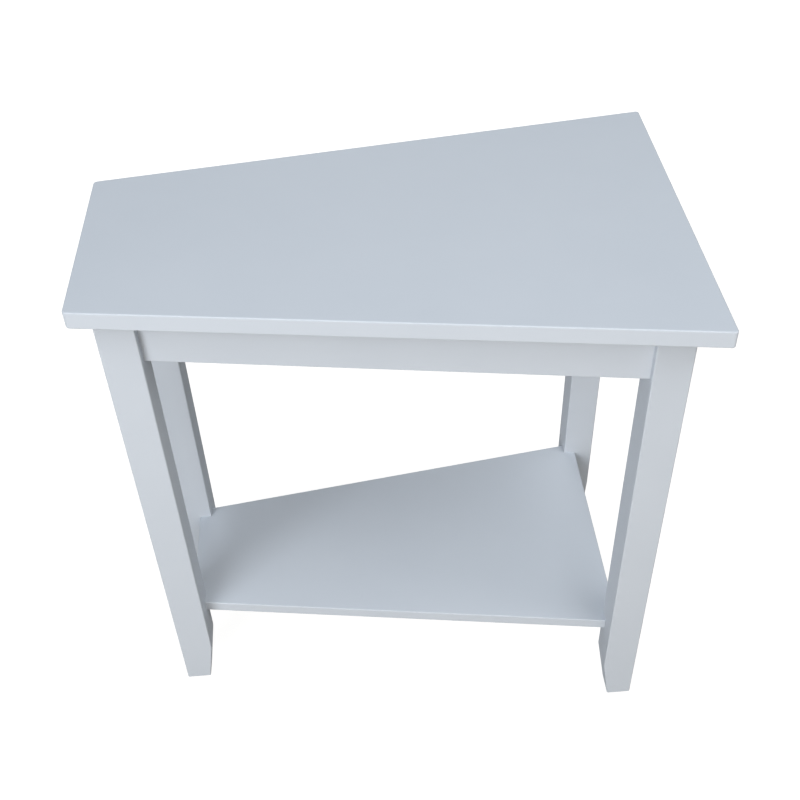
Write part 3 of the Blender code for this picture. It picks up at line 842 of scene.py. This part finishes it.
def weighted_sum(tree, *terms):
    """The sum of values, each with its own weight."""
    total = None
    for value, weight in terms:
        links = {0: value, 1: weight, 2: total or 0.0}
        total = add(tree, "ShaderNodeMath", links, operation="MULTIPLY_ADD").outputs[0]
    return total


def blend_tones(tree, share, deep, light):
    """A colour between two, by a share from 0 to 1."""
    links = {"Factor": share, MIX_DEEP: deep, MIX_LIGHT: light}
    return add(tree, "ShaderNodeMix", links, data_type="RGBA").outputs[MIX_RESULT]


def new_group(name, inputs, outputs):
    """A shader node group with named inputs (kind, value) and outputs."""
    tree = bpy.data.node_groups.new(name, "ShaderNodeTree")
    for label, (kind, value) in inputs.items():
        socket = tree.interface.new_socket(label, in_out="INPUT", socket_type=kind)
        if value is not None:
            socket.default_value = value
    for label, kind in outputs.items():
        tree.interface.new_socket(label, in_out="OUTPUT", socket_type=kind)
    source = tree.nodes.new("NodeGroupInput")
    sink = tree.nodes.new("NodeGroupOutput")
    return tree, source.outputs, sink.inputs


def drift_group():
    """Slow, uneven change of tone and gloss over a surface."""
    tree, given, result = new_group(
        "surface_drift",
        {
            "Vector": ("NodeSocketVector", None),
            "Scale": ("NodeSocketFloat", 9.0),
            "Gloss Low": ("NodeSocketFloat", 0.30),
            "Gloss High": ("NodeSocketFloat", 0.40),
        },
        {"Tone": "NodeSocketFloat", "Roughness": "NodeSocketFloat"},
    )
    cloud = noise(tree, given["Vector"], given["Scale"], detail=3.0)
    gloss = spread(tree, cloud, DRIFT_SPAN, given["Gloss Low"], given["Gloss High"])
    tree.links.new(spread(tree, cloud, DRIFT_SPAN), result["Tone"])
    tree.links.new(gloss, result["Roughness"])
    return tree


def paint_film_group():
    """Orange peel, and a faint ghost of the grain under a sprayed film."""
    tree, given, result = new_group(
        "paint_film",
        {
            "Vector": ("NodeSocketVector", None),
            "Peel Scale": ("NodeSocketFloat", 620.0),
            "Grain Scale": ("NodeSocketFloat", 420.0),
        },
        {"Height": "NodeSocketFloat"},
    )
    peel = noise(tree, given["Vector"], given["Peel Scale"], detail=2.0)
    grain = stretched_noise(tree, given["Vector"], along=0.03, scale=given["Grain Scale"], detail=3.0)
    tree.links.new(weighted_sum(tree, (peel, 1.0), (grain, PAINT_GRAIN_WEIGHT)), result["Height"])
    return tree


def wood_grain_group():
    """Growth rings, fibres and pores of sanded wood whose grain runs along X."""
    tree, given, result = new_group(
        "wood_grain",
        {
            "Vector": ("NodeSocketVector", None),
            "Ring Scale": ("NodeSocketFloat", 34.0),
            "Fibre Scale": ("NodeSocketFloat", 900.0),
            "Pore Scale": ("NodeSocketFloat", 1400.0),
        },
        {"Rings": "NodeSocketFloat", "Fibres": "NodeSocketFloat", "Pores": "NodeSocketFloat"},
    )
    drawn = add(tree, "ShaderNodeMapping", {"Vector": given["Vector"], "Scale": (0.10, 1.0, 0.55)})
    rings = add(
        tree,
        "ShaderNodeTexWave",
        {
            "Vector": drawn.outputs[0],
            "Scale": given["Ring Scale"],
            "Distortion": 5.0,
            "Detail": 3.0,
            "Detail Scale": 1.4,
        },
        wave_type="BANDS",
        bands_direction="Y",
        wave_profile="SAW",
    )
    fibres = stretched_noise(tree, given["Vector"], along=0.02, scale=given["Fibre Scale"], detail=4.0)
    specks = stretched_noise(tree, given["Vector"], along=0.05, scale=given["Pore Scale"], detail=2.0)
    tree.links.new(rings.outputs["Fac"], result["Rings"])
    tree.links.new(fibres, result["Fibres"])
    tree.links.new(spread(tree, specks, WOOD_PORE_SPAN), result["Pores"])
    return tree


def new_material(name):
    """An empty material with its shader and the object's coordinates."""
    material = bpy.data.materials.new(name)
    material.use_nodes = True
    tree = material.node_tree
    shader = tree.nodes["Principled BSDF"]
    place = tree.nodes.new("ShaderNodeTexCoord").outputs["Object"]
    return material, tree, shader, place


SURFACE_DRIFT = drift_group()
PAINT_FILM = paint_film_group()
WOOD_GRAIN = wood_grain_group()


def use_group(tree, group, vector, inputs=None):
    """The outputs of a shared effect that is placed by a vector, with some inputs of its own."""
    return add(tree, "ShaderNodeGroup", {"Vector": vector, **(inputs or {})}, node_tree=group).outputs


def turned_place(tree, place, turn):
    """An object's coordinates, turned so that its grain runs along X."""
    return add(tree, "ShaderNodeMapping", {"Vector": place, "Rotation": turn}).outputs[0]


def finish(tree, shader, colour, roughness, height, depth, strength=RELIEF_STRENGTH):
    """Link a surface's colour, gloss and relief to its shader."""
    bump = add(tree, "ShaderNodeBump", {"Height": height, "Strength": strength, "Distance": depth})
    tree.links.new(colour, shader.inputs["Base Color"])
    tree.links.new(roughness, shader.inputs["Roughness"])
    tree.links.new(bump.outputs[0], shader.inputs["Normal"])


def satin_paint(name, turn):
    """The pale satin paint on a board whose grain runs along one axis."""
    material, tree, shader, place = new_material(name)
    along = turned_place(tree, place, turn)
    film = use_group(tree, PAINT_FILM, along)["Height"]
    drift = use_group(tree, SURFACE_DRIFT, along, PAINT_DRIFT)
    colour = blend_tones(tree, drift["Tone"], *PAINT_TONES)
    finish(tree, shader, colour, drift["Roughness"], film, PAINT_RELIEF, PAINT_RELIEF_STRENGTH)
    shader.inputs["Specular IOR Level"].default_value = PAINT_SPECULAR
    return material


def bare_wood(name, turn):
    """Sanded, unpainted wood on a block whose grain runs along a diagonal."""
    material, tree, shader, place = new_material(name)
    along = turned_place(tree, place, turn)
    grain = use_group(tree, WOOD_GRAIN, along)
    rings, fibres, pores = [grain[label] for label in ("Rings", "Fibres", "Pores")]
    drift = use_group(tree, SURFACE_DRIFT, along, WOOD_DRIFT)
    share = weighted_sum(tree, *zip((rings, fibres, drift["Tone"]), WOOD_TONE_WEIGHTS))
    wood = blend_tones(tree, spread(tree, share, WOOD_TONE_SPAN), *WOOD_TONES)
    colour = blend_tones(tree, weighted_sum(tree, (pores, WOOD_PORE_SHARE)), wood, WOOD_PORE)
    relief = weighted_sum(tree, *zip((fibres, pores), WOOD_RELIEF_WEIGHTS))
    finish(tree, shader, colour, drift["Roughness"], relief, WOOD_RELIEF)
    shader.inputs["Specular IOR Level"].default_value = WOOD_SPECULAR
    return material


def zinc_plating():
    """Bright zinc plating with a faint blue to straw tint and a fine frost."""
    material, tree, shader, place = new_material("zinc_steel")
    drift = use_group(tree, SURFACE_DRIFT, place, ZINC_DRIFT)
    frost = noise(tree, place, scale=1900.0, detail=3.0)
    sparkle = spread(tree, frost, ZINC_FROST_SPAN)
    tint = blend_tones(tree, drift["Tone"], *ZINC_TONES)
    colour = blend_tones(tree, weighted_sum(tree, (sparkle, ZINC_FROST_SHARE)), tint, ZINC_FROST)
    finish(tree, shader, colour, drift["Roughness"], frost, ZINC_RELIEF)
    shader.inputs["Metallic"].default_value = 1.0
    return material


def moulded_nylon():
    """Off-white nylon with the fine skin of its mould."""
    material, tree, shader, place = new_material("glide_nylon")
    drift = use_group(tree, SURFACE_DRIFT, place, NYLON_DRIFT)
    skin = noise(tree, place, scale=2400.0, detail=2.0)
    colour = blend_tones(tree, drift["Tone"], *NYLON_TONES)
    finish(tree, shader, colour, drift["Roughness"], skin, NYLON_RELIEF)
    return material


PAINT_ALONG_X = satin_paint("satin_paint_along_x", (0, 0, 0))
PAINT_ALONG_Y = satin_paint("satin_paint_along_y", (0, 0, QUARTER))
PAINT_ALONG_Z = satin_paint("satin_paint_along_z", (0, QUARTER, 0))
WOOD_RISING = bare_wood("bare_wood_rising", (0, 0, -QUARTER / 2))
WOOD_FALLING = bare_wood("bare_wood_falling", (0, 0, QUARTER / 2))
ZINC = zinc_plating()
NYLON = moulded_nylon()


def make_table():
    """Every piece of the table, in its place and finish."""
    top = top_board()
    aprons = {which: apron_board(which) for which in APRONS}
    screw_lengths = {BLOCK_SCREW_LENGTH, TOP_SCREW_LENGTH, POCKET_SCREW_LENGTH}
    screw_meshes = {length: screw_mesh(length) for length in screw_lengths}
    bolt, washer, nut, glide = bolt_mesh(), washer_mesh(), nut_mesh(), glide_mesh()

    def drive(name, node, seat, direction, length, *boards):
        """Bore the boards for one screw and drive it home."""
        for board in boards:
            carve(board, screw_bore(seat, direction, length))
        screw = copy_on(name, screw_meshes[length], seat + direction * STACK_GAP, direction)
        dress(screw, ZINC, "zinc_steel", node)

    for end, side in OUTER:
        corner = f"{end}_{side}"
        block = block_board(end, side)
        inward = in_space(inwards(end, side), 0)
        inner = in_space(INNER[end, side], BOLT_HEIGHT)
        far = in_space(block_face(end, side, BLOCK_THICKNESS), BOLT_HEIGHT)
        carve(block, round_bore(BOLT_HOLE_RADIUS, inner - inward * OVERRUN, far + inward * OVERRUN))
        for label, which in (("side", side), ("end", end)):
            drive(
                f"{label}_screw_{corner}",
                f"block_screw_{corner}_{label}",
                *block_screw_seat(end, side, which),
                block,
                aprons[which],
            )
        drive(f"riser_screw_{corner}", f"top_screw_{corner}", *top_screw_seat(end, side), block, top)
        washer_seat = far + inward * STACK_GAP
        nut_seat = washer_seat + inward * (WASHER_THICKNESS + STACK_GAP)
        for name, mesh, seat, node in (
            ("threaded_bolt", bolt, inner, "hanger_bolt"),
            ("flat_washer", washer, washer_seat, "hanger_washer"),
            ("hex_nut", nut, nut_seat, "hanger_nut"),
        ):
            fitting = copy_on(f"{name}_{corner}", mesh, seat, inward)
            dress(fitting, ZINC, "zinc_steel", f"{node}_{corner}")
        foot = in_space(foot_centre(end, side), 0)
        pad = copy_on(f"nylon_glide_{corner}", glide, foot, Vector((0, 0, 1)))
        dress(pad, NYLON, "glide_plastic", f"foot_glide_{corner}")
        dress(leg_board(end, side), PAINT_ALONG_Z, "satin_paint", f"leg_{corner}")
        grain = WOOD_RISING if END_SIGNS[end] == -SIDE_SIGNS[side] else WOOD_FALLING
        dress(block, grain, "bare_wood", f"corner_block_{corner}")
    for side in SIDE_SIGNS:
        for end in END_SIGNS:
            name = f"slant_screw_{side}_{end}"
            drive(name, f"pocket_screw_{side}_{end}", *pocket_screw_seat(side, end), aprons[side], top)
        dress(aprons[side], PAINT_ALONG_X, "satin_paint", f"apron_{side}")
    for end in END_SIGNS:
        dress(aprons[end], PAINT_ALONG_Y, "satin_paint", f"apron_{end}_end")
    dress(top, PAINT_ALONG_X, "satin_paint", "table_top")
    dress(as_object("shelf_board", shelf_shape()), PAINT_ALONG_X, "satin_paint", "lower_shelf")


make_table()


# Stage, light and camera

WHITE = (1.0, 1.0, 1.0, 1.0)

# The floor glows white to the eye, a little less near the table than past the second distance
FLOOR_SIZE = 12.0
FLOOR_COLOUR = (0.26, 0.25, 0.23, 1.0)
FLOOR_GLOW_NEAR = 0.90
FLOOR_GLOW_FAR = 1.0
FLOOR_FADE = (0.9, 2.4)

WORLD_COLOUR = (0.96, 0.98, 1.0, 1.0)
WORLD_STRENGTH = 0.14
LAMP_SIDE = 1.6

# Each lamp: where it stands, its colour and its power
LAMPS = {
    "over_right": ((1.15, -1.15, 2.87), (0.965, 0.985, 1.0), 33.8),
    "over_end": ((1.63, 0.0, 2.87), (0.84, 0.93, 1.0), 8.5),
    "over_left": ((-1.15, -1.15, 2.87), (0.84, 0.93, 1.0), 9.5),
    "front_left": ((-1.5, -2.2, 1.9), (0.87, 0.92, 0.985), 49.0),
    "low_left": ((-1.2, -2.7, 0.4), (1.0, 0.96, 0.9), 20.5),
    "low_middle": ((0.42, -2.95, 0.37), (1.0, 0.93, 0.84), 22.0),
    "behind": ((0.0, 3.0, 0.8), (0.95, 0.98, 1.0), 57.0),
}
LAMP_TARGET = Vector((0.0, 0.0, 0.35))


def seen_directly(tree):
    """One for camera, mirror and see-through rays, and nought for the rest."""
    rays = tree.nodes.new("ShaderNodeLightPath").outputs
    direct = rays["Is Camera Ray"]
    for label in ("Is Glossy Ray", "Is Transmission Ray"):
        either = add(tree, "ShaderNodeMath", {0: direct, 1: rays[label]}, operation="MAXIMUM")
        direct = either.outputs[0]
    return direct


def mix_by_ray(tree, lighting, shown, output):
    """Send one shader to the rays that light things, and another to those that see it directly."""
    links = {0: seen_directly(tree), 1: lighting.outputs[0], 2: shown.outputs[0]}
    mixed = add(tree, "ShaderNodeMixShader", links)
    tree.links.new(mixed.outputs[0], output.inputs["Surface"])


def make_floor():
    """A plain white floor that keeps the table's shadow."""
    bm = bmesh.new()
    bmesh.ops.create_grid(bm, x_segments=1, y_segments=1, size=FLOOR_SIZE / 2)
    floor = as_object("floor", bm)
    material = bpy.data.materials.new("floor_white")
    material.use_nodes = True
    tree = material.node_tree
    tree.nodes.remove(tree.nodes["Principled BSDF"])
    matte = add(tree, "ShaderNodeBsdfDiffuse", {"Color": FLOOR_COLOUR})
    place = tree.nodes.new("ShaderNodeTexCoord").outputs["Object"]
    distance = add(tree, "ShaderNodeVectorMath", {0: place}, operation="LENGTH").outputs["Value"]
    strength = spread(tree, distance, FLOOR_FADE, FLOOR_GLOW_NEAR, FLOOR_GLOW_FAR)
    glow = add(tree, "ShaderNodeEmission", {"Color": WHITE, "Strength": strength})
    both = add(tree, "ShaderNodeAddShader", {0: matte.outputs[0], 1: glow.outputs[0]})
    mix_by_ray(tree, matte, both, tree.nodes["Material Output"])
    floor.data.materials.append(material)


def make_world():
    """Soft light from all round, and white wherever the world itself shows."""
    world = bpy.data.worlds.new("white_room")
    bpy.context.scene.world = world
    world.use_nodes = True
    tree = world.node_tree
    light = tree.nodes["Background"]
    light.inputs["Color"].default_value = WORLD_COLOUR
    light.inputs["Strength"].default_value = WORLD_STRENGTH
    white = add(tree, "ShaderNodeBackground", {"Color": WHITE, "Strength": 1.0})
    mix_by_ray(tree, light, white, tree.nodes["World Output"])


def make_lamp(name, place, colour, power):
    """A square soft lamp that points at the table."""
    data = bpy.data.lights.new(name, "AREA")
    data.shape = "SQUARE"
    data.size = LAMP_SIDE
    data.color = colour
    data.energy = power
    lamp = bpy.data.objects.new(name, data)
    lamp.location = place
    lamp.rotation_euler = (LAMP_TARGET - Vector(place)).to_track_quat("-Z", "Y").to_euler()
    bpy.context.scene.collection.objects.link(lamp)


def make_camera():
    """The camera, turned, dipped and rolled as the photograph was taken."""
    data = bpy.data.cameras.new("camera")
    data.sensor_width = SENSOR_WIDTH
    data.lens = FOCAL_PIXELS * SENSOR_WIDTH / IMAGE_WIDTH
    half = IMAGE_WIDTH / 2
    data.shift_x = (half - CENTRE_PIXEL[0]) / IMAGE_WIDTH
    data.shift_y = (CENTRE_PIXEL[1] - half) / IMAGE_WIDTH
    camera = bpy.data.objects.new("camera", data)
    camera.location = CAMERA_POSITION
    aim = Euler((QUARTER - CAMERA_DIP, 0, -CAMERA_AZIMUTH)).to_matrix()
    roll = Matrix.Rotation(CAMERA_ROLL, 3, "Z")
    camera.rotation_euler = (aim @ roll).to_euler()
    bpy.context.scene.collection.objects.link(camera)
    bpy.context.scene.camera = camera


make_floor()
make_world()
for name, (place, colour, power) in LAMPS.items():
    make_lamp(name, place, colour, power)
make_camera()

bpy.context.scene.view_settings.view_transform = "Standard"
